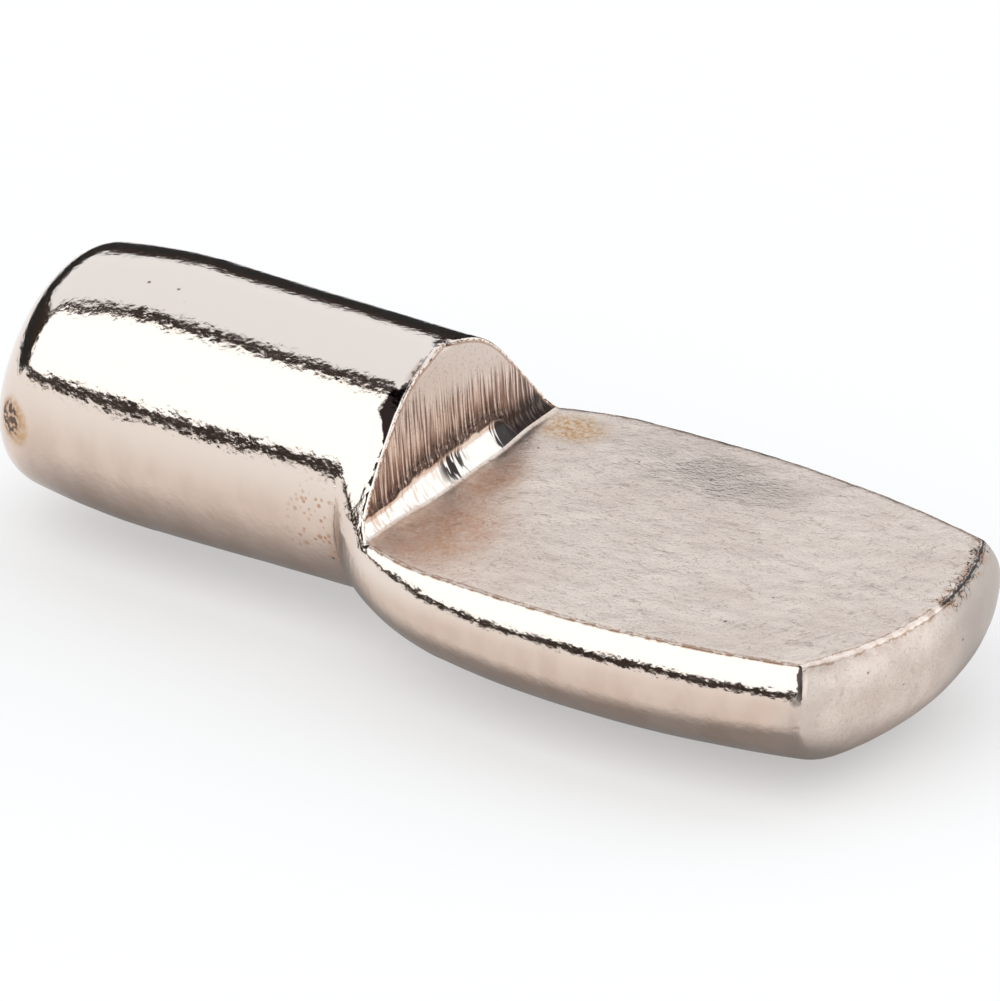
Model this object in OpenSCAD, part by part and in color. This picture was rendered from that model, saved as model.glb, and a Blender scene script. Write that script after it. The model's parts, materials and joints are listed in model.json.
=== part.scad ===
// Shelf support pin, spoon type.
// One cold-forged steel piece: a round shank that pushes into a hole in a cabinet's side, and a
// pressed blade with a flat seat that the shelf lies on. Sizes are in millimetres.
// X runs along the shank towards the blade's free end, Z is up, and the origin is on the shank's
// axis where the shank meets the cabinet wall.

/* [Shank] */
// Diameter of the shank
shank_d = 6.3; // [5:0.1:7]
// Length of the shank, from the furthest point of its tip to the cabinet wall
shank_len = 10.4; // [7:0.1:20]
// Length of the nose, over which the shank narrows, measured to the middle of its tip
nose_len = 4.4; // [3:0.1:5.5]
// Radius of the long shallow arc along the nose
nose_arc_r = 19.5; // [16:0.5:40]
// Radius of the rounded corner at the tip
tip_r = 1.6; // [0.5:0.1:1.8]
// Slant of the tip, where the bar was sheared off, in degrees
tip_slant = 14.5; // [0:0.5:18]
// Angle up from the side at which the slanted tip stands back furthest
tip_slant_turn = 126; // [0:1:359]

/* [Neck] */
// Length of the neck, from the cabinet wall to the foot of the step
neck_len = 1.45; // [1:0.05:2.5]
// Length over which the blade swells out of the bar to its full section
swell_len = 4.85; // [3:0.05:7]
// Squareness of the swell: 2 is a quarter oval, and more gives it a fuller shoulder
swell_power = 3.2; // [2:0.1:4]
// Width of the hollow blend where the blade's flanks leave the bar
neck_blend = 2.35; // [0.6:0.05:2.6]

/* [Blade] */
// Length of the seat, from the foot of the step to the middle of the rounded end
seat_len = 12.55; // [9:0.05:20]
// Width of the seat where it is widest
seat_w = 9.3; // [8:0.1:11]
// Distance of that place from the foot of the step
seat_wide_at = 4.8; // [3:0.1:6]
// Radius of the seat's long curved sides
side_arc_r = 25.5; // [24:0.5:80]
// Height of the seat above the shank's axis
seat_h = 0.05; // [-0.3:0.05:0.6]
// Depth of the belly below the seat where the blade begins
belly_start_d = 3.2; // [2.8:0.05:4]
// Depth of the belly below the seat where the end's round begins
belly_end_d = 3.6; // [2.8:0.05:4.5]
// Extra depth that the belly has midway between the two
belly_sag = 0.25; // [0:0.05:0.6]
// How far the flanks stand out past the seat's edge where the blade begins
flank_start = 0.4; // [0.2:0.05:0.8]
// How far the flanks stand out past the seat's edge at the blade's end
flank_end = 0.45; // [0.3:0.05:1.4]

/* [End] */
// Radius of the blade's end, seen from above
end_arc_r = 7.7; // [6.6:0.1:12]
// How far the end face stands out past the seat's edge
end_bulge = 0.35; // [0.1:0.05:0.6]
// Depth below the seat at which the end face stands out furthest
end_bulge_d = 1; // [0.6:0.05:1.6]
// Length of the round that turns the end face under to the belly
end_round_len = 3.2; // [1.5:0.1:4]

/* [Step] */
// Lean of the step's face from upright, in degrees
step_lean = 7; // [3:0.5:12]
// Radius of the hollow at the foot of the step
foot_r = 0.55; // [0.3:0.05:0.9]
// Radius of the rounded edge along the top of the step
brow_r = 0.4; // [0.2:0.05:0.6]

/* [Hidden] */
$fn = 96;

shank_r = shank_d / 2;
step_x = neck_len;
end_x = step_x + seat_len;
end_centre_x = end_x - end_arc_r;

// The tip's slant dies out this far before the nose ends, and the straight bar runs as far into
// the nose as the overlap.
slant_stop = 0.6;
bar_overlap = 0.4;
// The nose ends this far inside the bar's surface.
nose_inset = 0.03;
// Where the nose's two arcs meet, the second leaves out its first point, within this distance.
join_gap = 0.01;
// Share of the neck's blend that is left under the belly
belly_blend = 0.25;
// The bar runs this far into the blade, and its round shape then fades out of the belly.
bar_overrun = 1.2;
fade_from = step_x + 1.9;
fade_rate = 0.6;
fade_least = 0.6;
// The blade's skin starts a little inside the bar. It breaks out of the bar at the cabinet wall,
// midway between two stations, and stands as far proud of it along the neck.
skin_offset = 0.03;
// The swell begins this far past the cabinet wall, and is never less than that of this share of
// its length.
swell_from = 0.05;
swell_least = 0.01;
// The skin runs this far past the end face, to be trimmed.
end_spare = 0.8;
// The reach along the belly between its two depths, and how far past it the trend runs on
reach = seat_len - end_round_len;
reach_most = 1.4;
// The end's round starts this much lower than the belly, so that it meets it at an angle.
round_drop = 0.05;

// Points round a section, and their angles
ring_points = 60;
ring = [for (i = [0 : ring_points - 1]) 360 * i / ring_points];
// Stations along the skin, close together over the swell
near_step = 0.22;
far_step = 0.7;
skin_lead = near_step * 1.5;
near_end = swell_from + swell_len * 0.8;
stations = concat(
    [for (x = [-skin_lead : near_step : near_end]) x],
    [for (x = [near_end + far_step / 2 : far_step : end_x + end_spare]) x]
);

// Steps in each curved profile, and in each arc of the nose
arc_steps = 12;
nose_steps = 7;

// Room that the cutting tools have past the part, and how far the end's block stays inside its die
room = 2 * shank_d + seat_w;
block_inset = 1;

function clamp(v, low, high) = max(low, min(high, v));
function arc(cx, cy, r, from, to, steps = arc_steps) = [
    for (i = [0 : steps])
        let (a = from + (to - from) * i / steps)
        [cx + r * cos(a), cy + r * sin(a)]
];

// The larger of two radii, with a hollow blend where they are nearly the same.
function blend_max(a, b, width) =
    let (near = max(width - abs(a - b), 0) / width)
    max(a, b) + near * near * width / 4;

// Half width of the seat at a distance from the step.
function seat_half(s) =
    seat_w / 2 - side_arc_r + sqrt(pow(side_arc_r, 2) - pow(s - seat_wide_at, 2));

// Share of the belly's reach at a distance from the step.
function along(s) = clamp(s / reach, 0, reach_most);

function belly_depth(s) =
    let (t = along(s))
    belly_start_d + (belly_end_d - belly_start_d) * t + 4 * belly_sag * t * (1 - t);

function flank(s) =
    flank_start + (flank_end - flank_start) * clamp(s / seat_len, 0, reach_most);

// How much of its full section the blade has reached at x.
function swell(x) =
    let (t = clamp((x - swell_from) / swell_len, swell_least, 1))
    pow(1 - pow(1 - t, swell_power), 1 / swell_power);

// The blade's section is an oval whose middle lies below the seat: [half width, half height,
// height of its middle].
function oval(x) =
    let (
        s = x - step_x,
        edge = seat_half(s),
        half_w = edge + flank(s),
        sink = sqrt(1 - pow(edge / half_w, 2)),
        half_h = belly_depth(s) / (1 + sink)
    )
    [half_w, half_h, seat_h - sink * half_h] * swell(x);

// Distance from the shank's axis to an oval, at an angle above the horizontal.
function oval_r(o, a) =
    let (
        p = pow(cos(a) / o[0], 2) + pow(sin(a) / o[1], 2),
        q = sin(a) * o[2] / pow(o[1], 2),
        k = pow(o[2] / o[1], 2) - 1
    )
    (q + sqrt(q * q - p * k)) / p;

// Radius of the round bar inside the blade.
function bar_r(x) =
    max(
        shank_r + skin_offset * sign(x) - fade_rate * max(x - fade_from, 0),
        fade_least
    );

// The hollow blend is widest at the flanks and narrows towards the belly.
function blend_width(a) = neck_blend * (belly_blend + (1 - belly_blend) * pow(cos(a), 2));

function skin_r(x, a) = blend_max(bar_r(x), oval_r(oval(x), a), blend_width(a));

// A closed skin through one ring of points at each station.
module loft(rings) {
    n = len(rings[0]);
    last = len(rings) - 1;
    sides = [
        for (i = [0 : last - 1], j = [0 : n - 1])
            let (
                a = i * n + j,
                b = i * n + (j + 1) % n,
                c = a + n,
                d = b + n
            )
            each [[a, c, b], [b, c, d]]
    ];
    ends = [[for (j = [0 : n - 1]) j], [for (j = [n - 1 : -1 : 0]) last * n + j]];
    polyhedron(points = [for (r = rings) each r], faces = concat(sides, ends));
}

module blade() {
    loft([
        for (x = stations)
            [for (a = ring) let (r = skin_r(x, a)) [x, r * cos(a), r * sin(a)]]
    ]);
}

// How much of the tip's slant is left at a distance from the middle of the tip.
function slant_share(d) =
    let (t = clamp(1 - d / (nose_len - slant_stop), 0, 1))
    t * t * (3 - 2 * t);

// The nose's profile, as [distance from the middle of the tip, radius]. The corner's arc lies
// inside the nose's arc and touches it.
function nose_profile() =
    let (
        arc_y = shank_r - nose_inset - nose_arc_r,
        tip_y = arc_y + sqrt(pow(nose_arc_r - tip_r, 2) - pow(tip_r - nose_len, 2)),
        lean = atan2(tip_y - arc_y, tip_r - nose_len),
        join_x = tip_r + tip_r * cos(lean) + join_gap
    )
    concat(
        arc(tip_r, tip_y, tip_r, 180, lean, nose_steps),
        [for (p = arc(nose_len, arc_y, nose_arc_r, lean, 90, nose_steps)) if (p[0] > join_x) p]
    );

// Straight bar with a bullet nose, whose tip is slanted.
module shank() {
    profile = nose_profile();
    slope = tan(tip_slant);
    front = min([for (p = profile) p[0] - slant_share(p[0]) * slope * p[1]]);
    tip_x = -shank_len - front;
    rotate([0, 90, 0])
        translate([0, 0, tip_x + nose_len - bar_overlap])
            cylinder(r = shank_r, h = step_x + bar_overrun - tip_x - nose_len + bar_overlap);
    loft([
        for (p = profile)
            [for (a = ring)
                let (back = slant_share(p[0]) * slope * p[1] * cos(a - tip_slant_turn))
                [tip_x + p[0] + back, p[1] * cos(a), p[1] * sin(a)]]
    ]);
}

// What the seat punch takes away: everything above the seat, as far back as the step.
module seat_punch() {
    // Foot of the step's face, where it would meet the seat with no hollow
    up = [-sin(step_lean), cos(step_lean)];
    out = [cos(step_lean), sin(step_lean)];
    foot_y = seat_h + foot_r;
    foot_x = step_x + (foot_r - (foot_y - seat_h) * sin(step_lean)) / cos(step_lean);
    // The brow's arc touches the step's face and the shank's top line.
    brow_y = shank_r - brow_r;
    brow_x = step_x - ((brow_y - seat_h) * sin(step_lean) + brow_r) / cos(step_lean);
    top_y = shank_r + room;
    profile = concat(
        [[end_x + room, seat_h]],
        arc(foot_x, foot_y, foot_r, 270, 180 + step_lean),
        arc(brow_x, brow_y, brow_r, step_lean, 90),
        [[brow_x, top_y], [end_x + room, top_y]]
    );
    rotate([90, 0, 0])
        linear_extrude(height = 2 * room, center = true)
            polygon(profile);
}

// What the end trim takes away: everything outside a round die with a rounded lower edge.
module end_trim() {
    widest = end_arc_r + end_bulge;
    widest_z = seat_h - end_bulge_d;
    round_h = belly_end_d + round_drop - end_bulge_d;
    bulge = [
        for (i = [0 : arc_steps - 1])
            let (t = 1 - i / arc_steps)
            [end_arc_r + end_bulge * (1 - t * t), widest_z + end_bulge_d * t]
    ];
    under = [
        for (i = [0 : arc_steps])
            let (a = 90 * i / arc_steps)
            [widest - end_round_len * (1 - cos(a)), widest_z - round_h * sin(a)]
    ];
    die = concat(
        [[0, room], [end_arc_r, room]],
        bulge,
        under,
        [[widest - end_round_len, -room], [0, -room]]
    );
    difference() {
        translate([end_centre_x, -room, block_inset - room])
            cube([room + end_arc_r, 2 * room, 2 * (room - block_inset)]);
        translate([end_centre_x, 0, 0])
            rotate_extrude()
                polygon(die);
    }
}

module support_pin() {
    color([0.80, 0.76, 0.72])
        difference() {
            union() {
                shank();
                blade();
            }
            seat_punch();
            end_trim();
        }
}

support_pin();
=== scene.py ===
"""The looks of a spoon-type shelf support pin.

The pin is one cold-forged piece, plated with nickel. Its skin is made of sheets of faces: the bar's
top, the belly, the seat, the step and the end face. They are sewn together, and the crisp edges are
then rounded over. Sizes here are in millimetres, and are turned to metres where Blender takes them.
"""

import json
import math

import bmesh
import bpy
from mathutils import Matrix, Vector, kdtree, noise


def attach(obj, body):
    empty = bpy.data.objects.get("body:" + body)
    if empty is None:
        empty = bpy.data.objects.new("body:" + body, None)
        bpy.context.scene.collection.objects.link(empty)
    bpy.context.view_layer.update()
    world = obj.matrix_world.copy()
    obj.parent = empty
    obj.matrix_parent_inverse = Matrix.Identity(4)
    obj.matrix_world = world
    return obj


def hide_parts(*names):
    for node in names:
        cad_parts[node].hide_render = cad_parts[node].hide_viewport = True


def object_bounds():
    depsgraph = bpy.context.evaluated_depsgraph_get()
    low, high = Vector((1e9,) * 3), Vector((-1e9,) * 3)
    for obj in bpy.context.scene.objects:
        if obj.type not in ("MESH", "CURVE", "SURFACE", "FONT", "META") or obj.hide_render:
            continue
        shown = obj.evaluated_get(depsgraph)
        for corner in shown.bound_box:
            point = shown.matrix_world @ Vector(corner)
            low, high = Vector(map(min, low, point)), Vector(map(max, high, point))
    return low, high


MM = 0.001

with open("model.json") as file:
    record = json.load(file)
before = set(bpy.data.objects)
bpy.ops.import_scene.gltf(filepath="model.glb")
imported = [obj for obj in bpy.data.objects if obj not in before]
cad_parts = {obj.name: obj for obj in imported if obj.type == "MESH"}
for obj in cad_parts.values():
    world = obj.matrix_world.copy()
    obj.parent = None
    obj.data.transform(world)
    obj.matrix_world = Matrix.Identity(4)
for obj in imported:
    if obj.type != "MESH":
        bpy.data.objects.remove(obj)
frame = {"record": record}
cad_low, cad_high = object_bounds()
mounts = {mount["name"]: mount for mount in frame["record"]["mounts"]}

# Sizes taken from the frame
SHANK_R = mounts["shank"]["dims"]["r_mm"]
SEAT_Z = mounts["shelf_seat"]["pos_m"][2] / MM
TIP_X = cad_low.x / MM + 0.4
FLOOR_Z = cad_low.z / MM

# The seat's plan, and the end face
STEP_X = 1.45
SEAT_LEN = 12.53
SEAT_HALF_W = 4.64
SEAT_WIDE_AT = 4.8
SIDE_ARC_R = 25.5
END_X = STEP_X + SEAT_LEN
END_ARC_R = 7.7
END_BULGE = 0.36
END_BULGE_D = 0.98
END_ROUND_LEN = 3.2
END_ROUND_H = 2.67
END_CENTRE_X = END_X - END_ARC_R

# The belly under the seat
BELLY_START_D = 3.2
BELLY_END_D = 3.6
BELLY_SAG = 0.22
FLANK_START = 0.38
FLANK_END = 0.44

# The neck, where the blade swells out of the bar
SWELL_FROM = 0.05
SWELL_LEN = 4.84
SWELL_POWER = 3.17
NECK_BLEND = 2.35
BELLY_BLEND = 0.25
FADE_FROM = STEP_X + 1.9
FADE_RATE = 0.6
NECK_TAPER = 0.017

# The nose
NOSE_X = TIP_X + 4.4
NOSE_ARC_R = 19.5
TIP_R = 1.6
SHEAR_Y = -0.148
SHEAR_Z = 0.207
# Where the straight bar ends and the skin's rows start to lean over
BAR_END_X = -1

# The step
STEP_LEAN = math.radians(4.5)
STEP_BACK = 0.10
STEP_SKEW = 0.02
FOOT_R = 2.7
FOOT_START = math.radians(24)
FOOT_END = math.radians(38)
FOOT_AT_SIDES = 0.62
FOOT_NARROWS = (1.2, 2.9)
# A place across the step where the foot is at its smallest
PUNCH_SIDE_Y = 3
BROW_R = 0.16
FLARE = 0.07

# How finely the skin is divided
TOP_COLUMNS = 128
ACROSS = 140
CORNER_ROWS = 20
BELLY_COLUMNS = ACROSS + 2 * CORNER_ROWS
NECK_ROWS = 30
BLADE_ROWS = 104
TIP_ROWS = 10
TIP_ROUND_ROWS = 20
NOSE_ROWS = 24
STRAIGHT_ROWS = 24
EDGE_ROOM = 0.26
RIM_ROOM = 0.2
RIM_COLUMNS = 2.6
FIRST_ANGLE = 0.04
# How far from a rim the skin still knows its distance to it
RIM_REACH = 1.0
# How near to the seat's height a point counts as being on it
AT_SEAT = 0.02

# The rounding of the edges: its width, and the parts of it that the single edges get
EDGE_ROUND = 0.15
COMMON_PART = 0.45
STEP_FOOT_PART = 0.5
END_CORNER_PART = 0.5
END_RIM_NEAR_PART = 0.55
END_RIM_FAR_PART = 0.32
# Where the end face's lower edge is smoothed: the depth below the seat, and how many times
RELAXED = ((1.3, 2), (1.7, 3), (2.1, 5))
AROUND_END_X = END_CENTRE_X + 3
# Deeper than this below the seat, points by the end that lie closer together than this are joined
SLIVERS_BELOW = 1.0
SLIVER = 0.012
# How near the points of two sheets lie where they are sewn together
SEAM = 0.002

# How deep the rims are nicked at most
END_NEAR_NICK = 0.02
END_FAR_NICK = 0.07
STEP_NICK = 0.03
SIDE_NICK = 0.012
CORNER_NICK = 0.04
# How deep the skin is uneven: broadly and finely all over, on the seat, by the punch's marks on the
# step, and in its hollow foot, and how far the ridge and its knobs stand out over the foot
BROAD_DEPTH = 0.010
FINE_DEPTH = 0.005
SEAT_DEPTH = 0.010
MARK_DEPTH = 0.012
FOOT_DEPTH = 0.02
RIDGE_RISE = 0.035
KNOB_RISE = 0.05


def clamp(value, low, high):
    return max(low, min(high, value))


def smooth(value, low, high):
    """0 below low, 1 above high, and a smooth rise between."""
    t = clamp((value - low) / (high - low), 0, 1)
    return t * t * (3 - 2 * t)


def mix(a, b, t):
    return a + (b - a) * t


# ---- The blank: a round bar and an oval blade, with a hollow blend between them ----

def seat_half(s):
    return SEAT_HALF_W - SIDE_ARC_R + math.sqrt(SIDE_ARC_R ** 2 - (s - SEAT_WIDE_AT) ** 2)


def belly_depth(s):
    t = clamp(s / (SEAT_LEN - END_ROUND_LEN), 0, 1.4)
    return mix(BELLY_START_D, BELLY_END_D, t) + 4 * BELLY_SAG * t * (1 - t)


def swell(x):
    t = clamp((x - SWELL_FROM) / SWELL_LEN, 0.01, 1)
    return (1 - (1 - t) ** SWELL_POWER) ** (1 / SWELL_POWER)


def oval(x):
    """The blade's section: half width, half height, and height of its middle."""
    s = x - STEP_X
    edge = seat_half(s)
    half_w = edge + mix(FLANK_START, FLANK_END, clamp(s / SEAT_LEN, 0, 1.2))
    sink = math.sqrt(1 - (edge / half_w) ** 2)
    half_h = belly_depth(s) / (1 + sink)
    size = swell(x)
    return half_w * size, half_h * size, (SEAT_Z - sink * half_h) * size


def nose_line():
    """Points (x, radius) from the middle of the tip to the end of the nose."""
    arc_y = SHANK_R - NOSE_ARC_R
    tip_x = TIP_X + TIP_R
    tip_y = arc_y + math.sqrt((NOSE_ARC_R - TIP_R) ** 2 - (tip_x - NOSE_X) ** 2)
    lean = math.atan2(tip_y - arc_y, tip_x - NOSE_X)
    line = [(TIP_X, tip_y * i / TIP_ROWS) for i in range(1, TIP_ROWS)]
    for i in range(TIP_ROUND_ROWS):
        a = mix(math.pi, lean, i / TIP_ROUND_ROWS)
        line.append((tip_x + TIP_R * math.cos(a), tip_y + TIP_R * math.sin(a)))
    for i in range(NOSE_ROWS):
        a = mix(lean, math.pi / 2, i / NOSE_ROWS)
        line.append((NOSE_X + NOSE_ARC_R * math.cos(a), arc_y + NOSE_ARC_R * math.sin(a)))
    return line


def bar_r(x):
    """Radius of the straight bar, which tapers a little towards the neck and fades in the blade."""
    taper = 1 - NECK_TAPER * smooth(x, TIP_X + 2, 1)
    return max(SHANK_R * taper - FADE_RATE * max(x - FADE_FROM, 0), 0.6)


def skin_r(x, angle):
    """Distance from the axis to the skin, at an angle above +Y."""
    bar = bar_r(x)
    if x < SWELL_FROM - 1.5:
        return bar
    half_w, half_h, mid_z = oval(x)
    c, s = math.cos(angle), math.sin(angle)
    p = (c / half_w) ** 2 + (s / half_h) ** 2
    q = s * mid_z / half_h ** 2
    k = (mid_z / half_h) ** 2 - 1
    blade = (q + math.sqrt(q * q - p * k)) / p
    width = NECK_BLEND * (BELLY_BLEND + (1 - BELLY_BLEND) * c * c)
    near = max(width - abs(bar - blade), 0) / width
    blend = near * near * width / 4 * smooth(x, -0.6, 0.2)
    return max(bar, blade) + blend


def rim_angle(x, angle):
    """Shifts an angle so that the angles 0 and 180 degrees fall on the seat's height."""
    shift = 0
    for _ in range(3):
        shift = math.asin(SEAT_Z / skin_r(x, shift))
    return angle + shift * smooth(x, BAR_END_X, 1) * math.cos(angle)


def ring_point(x, r, angle):
    return Vector((x, r * math.cos(angle), r * math.sin(angle)))


def skin(x, angle):
    """A point of the skin. The angles 0 and 180 degrees are the seat's rims."""
    angle = rim_angle(x, angle)
    return ring_point(x, skin_r(x, angle), angle)


# ---- The punch, which presses the step and the seat, and the die of the end face ----

FACE_X = STEP_X - STEP_BACK
STEP_TOP = skin_r(FACE_X - SHANK_R * math.tan(STEP_LEAN), math.pi / 2)
FOOT_H = FOOT_R * (math.sin(FOOT_END) - math.sin(FOOT_START))
BROW_Z = STEP_TOP - BROW_R
BROW_X = FACE_X - ((BROW_Z - SEAT_Z) * math.sin(STEP_LEAN) + BROW_R) / math.cos(STEP_LEAN)


def foot_size(y):
    """The foot's size at a place across the step: full in the middle and less at the sides."""
    return mix(1, FOOT_AT_SIDES, smooth(abs(y), *FOOT_NARROWS))


def punch_x(z, y):
    """Where the punch's face is at a height, and at a place across the step."""
    size = foot_size(y)
    if z > BROW_Z + BROW_R * math.sin(STEP_LEAN):
        return BROW_X + math.sqrt(max(BROW_R ** 2 - (z - BROW_Z) ** 2, 0))
    x = FACE_X - (max(z, SEAT_Z + FOOT_H * size) - SEAT_Z) * math.tan(STEP_LEAN)
    if z < SEAT_Z + FOOT_H * size:
        lean = math.asin(math.sin(FOOT_END) - (z - SEAT_Z) / (FOOT_R * size))
        x += FOOT_R * size * (math.cos(FOOT_START) - math.cos(lean))
    return x


FOOT_X = punch_x(SEAT_Z, PUNCH_SIDE_Y)


def die_r(z):
    """Radius of the end's die at a height."""
    below = SEAT_Z - z - END_BULGE_D
    if below < 0:
        return END_ARC_R + END_BULGE * (1 - (below / END_BULGE_D) ** 2)
    t = clamp(below / END_ROUND_H, 0, 1)
    return END_ARC_R + END_BULGE - END_ROUND_LEN * (1 - math.sqrt(1 - t * t))


def die(turn, z):
    r = die_r(z)
    return Vector((END_CENTRE_X + r * math.cos(turn), r * math.sin(turn), z))


def end_of_column(angle):
    """Where a line along the skin meets the end's die."""
    low, high = END_CENTRE_X + 1, END_X + 1
    for _ in range(40):
        x = (low + high) / 2
        point = skin(x, angle)
        if math.hypot(point.x - END_CENTRE_X, point.y) < die_r(point.z):
            low = x
        else:
            high = x
    return skin(low, angle)


# ---- The sheets ----

def belly_share(i):
    """How far round the belly a column is, with a wider space next to each rim."""
    if i == 0 or i == BELLY_COLUMNS:
        return i / BELLY_COLUMNS
    return (i - 1 + RIM_COLUMNS) / (BELLY_COLUMNS - 2 + 2 * RIM_COLUMNS)


def top_angle(i):
    """The angle of a column of the bar's top. They lie closer together low down, by the fillet."""
    half = TOP_COLUMNS / 2
    t = (min(i, TOP_COLUMNS - i) - 1) / (half - 1)
    angle = mix(FIRST_ANGLE, math.pi / 2, 0.4 * t + 0.6 * t * t) if t >= 0 else 0
    return angle if i <= half else math.pi - angle


TOP_ANGLES = [top_angle(i) for i in range(TOP_COLUMNS + 1)]
BELLY_ANGLES = [math.pi * (1 + belly_share(i)) for i in range(BELLY_COLUMNS + 1)]


def across(half_w, i):
    """The i-th of the points across a flat, with a wider space next to each edge."""
    room = min(RIM_ROOM, half_w / 3)
    if i == 0 or i == ACROSS:
        return half_w if i else -half_w
    return mix(room - half_w, half_w - room, (i - 1) / (ACROSS - 2))


def bar_rows(angles):
    """Rows of points along the bar, from the tip to just before the neck."""
    rows = []
    for x, r in nose_line():
        rows.append([ring_point(x, r, a) for a in angles])
    for i in range(STRAIGHT_ROWS + 1):
        x = mix(NOSE_X, BAR_END_X, i / STRAIGHT_ROWS)
        rows.append([skin(x, a) for a in angles])
    return rows


def neck_rows(angles):
    """Rows that lean over until the last lies on the punch's face, and at the foot below it."""
    rows = []
    for i in range(1, NECK_ROWS + 1):
        t = i / NECK_ROWS
        row = []
        for angle in angles:
            x = mix(BAR_END_X, STEP_X, t)
            for _ in range(12):
                point = skin(x, angle)
                last = punch_x(point.z, PUNCH_SIDE_Y) if point.z > SEAT_Z else FOOT_X
                x = mix(x, mix(BAR_END_X, last, t), 0.7)
            row.append(skin(x, angle))
        rows.append(row)
    return rows


def blade_share(i):
    """How far along the blade a row is, with a wider space before the end."""
    room = EDGE_ROOM / SEAT_LEN
    return 1 if i == BLADE_ROWS else i / (BLADE_ROWS - 1) * (1 - room)


def blade_rows():
    """Rows round the belly, from the step's foot to the end face."""
    ends = [end_of_column(a) for a in BELLY_ANGLES]
    rows = []
    for i in range(1, BLADE_ROWS + 1):
        share = blade_share(i)
        rows.append([skin(mix(FOOT_X, end.x, share), a) for a, end in zip(BELLY_ANGLES, ends)])
    return rows


def seat_rows(belly):
    """Rows across the seat between the rims of the belly's rows."""
    half_end = abs(belly[-1][0].y)
    corner_x = belly[-1][0].x
    rows = []
    for rim in belly:
        t = (rim[0].x - FOOT_X) / (corner_x - FOOT_X)
        row = []
        for i in range(ACROSS + 1):
            y_end = across(half_end, i)
            arc_x = END_CENTRE_X + math.sqrt(END_ARC_R ** 2 - y_end ** 2)
            last = arc_x if abs(y_end) < half_end else corner_x
            y = across(abs(rim[0].y), i)
            first = punch_x(SEAT_Z, across(abs(belly[0][0].y), i))
            row.append(Vector((mix(first, last, t), y, SEAT_Z)))
        rows.append(row)
    return rows


def step_rows(top_row):
    """Rows across the step's face, from its foot up to its brow."""
    rows = []
    for i in range(TOP_COLUMNS // 2 + 1):
        side = top_row[i]
        row = []
        for j in range(ACROSS + 1):
            y = across(abs(side.y), j)
            bulge = punch_x(side.z, y) - punch_x(side.z, PUNCH_SIDE_Y)
            row.append(Vector((side.x + (bulge if side.z < SEAT_Z + FOOT_H else 0), y, side.z)))
        rows.append(row)
    return rows


def end_rows(belly_end, seat_end):
    """Rows over the end face. Each point blends the four sides in turn and height of the die."""
    def place(point):
        return Vector((math.atan2(point.y, point.x - END_CENTRE_X), point.z))

    belly_end = [place(p) for p in belly_end]
    seat_end = [place(p) for p in seat_end]
    left = belly_end[:CORNER_ROWS + 1]
    right = belly_end[::-1][:CORNER_ROWS + 1]
    bottom = belly_end[CORNER_ROWS:len(belly_end) - CORNER_ROWS]
    rows = []
    for i in range(CORNER_ROWS + 1):
        t = (i - 1 + RIM_COLUMNS) / (CORNER_ROWS - 1 + RIM_COLUMNS) if i else 0
        row = []
        for j in range(ACROSS + 1):
            s = j / ACROSS
            corners = mix(mix(left[0], right[0], s), mix(left[-1], right[-1], s), t)
            turn, z = mix(seat_end[j], bottom[j], t) + mix(left[i], right[i], s) - corners
            row.append(die(turn, z))
        rows.append(row)
    return rows


def pick(*pieces):
    """Selects these pieces alone, and makes the first the active one."""
    bpy.ops.object.select_all(action="DESELECT")
    for piece in pieces:
        piece.select_set(True)
    bpy.context.view_layer.objects.active = pieces[0]


def sheet(name, rows, finish):
    """A grid of faces with its points moved to the given rows."""
    across_count = len(rows[0])
    bpy.ops.object.select_all(action="DESELECT")
    bpy.ops.mesh.primitive_grid_add(x_subdivisions=across_count - 1, y_subdivisions=len(rows) - 1)
    piece = bpy.context.object
    piece.name = name
    for vertex in piece.data.vertices:
        row, column = divmod(vertex.index, across_count)
        vertex.co = rows[row][column] * MM
    piece.data.materials.append(finish)
    return piece


def sewn(name, sheets):
    """The sheets made one skin, with every face pointing outwards."""
    pick(*sheets)
    bpy.ops.object.join()
    piece = bpy.context.object
    piece.name = name
    bpy.ops.object.transform_apply(location=True, rotation=True, scale=True)
    bpy.ops.object.mode_set(mode="EDIT")
    bpy.ops.mesh.select_all(action="SELECT")
    bpy.ops.mesh.remove_doubles(threshold=SEAM * MM)
    bpy.ops.mesh.select_all(action="DESELECT")
    bpy.ops.mesh.select_non_manifold()
    bpy.ops.mesh.edge_face_add()
    bpy.ops.mesh.select_all(action="SELECT")
    bpy.ops.mesh.normals_make_consistent(inside=False)
    bpy.ops.object.mode_set(mode="OBJECT")
    return piece


def select_points(piece, test):
    """Selects the vertices that pass a test of their place in millimetres."""
    bpy.ops.object.mode_set(mode="EDIT")
    bpy.ops.mesh.select_mode(type="VERT")
    bpy.ops.mesh.select_all(action="DESELECT")
    mesh = bmesh.from_edit_mesh(piece.data)
    for vertex in mesh.verts:
        vertex.select = test(vertex.co / MM)
    mesh.select_flush_mode()
    bmesh.update_edit_mesh(piece.data)


def relax_end(piece):
    """Fades the end face's edge into the belly, the more the lower it is."""
    for depth, turns in RELAXED:
        select_points(piece, lambda p: p.z < SEAT_Z - depth and p.x > AROUND_END_X)
        bpy.ops.mesh.vertices_smooth(factor=0.5, repeat=turns)
        bpy.ops.object.mode_set(mode="OBJECT")


def slant(piece):
    """The bar was sheared off at a slight slant, which the nose keeps, and the step is askew."""
    for vertex in piece.data.vertices:
        p = vertex.co / MM
        at_tip = smooth(-p.x, -TIP_X - 3.8, -TIP_X)
        at_step = smooth(p.x, -2.5, 0) * (1 - smooth(p.x, STEP_X + 1, STEP_X + 5))
        shift = at_tip * (SHEAR_Y * p.y + SHEAR_Z * p.z) - at_step * STEP_SKEW * p.y
        vertex.co.x += shift * MM


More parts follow.
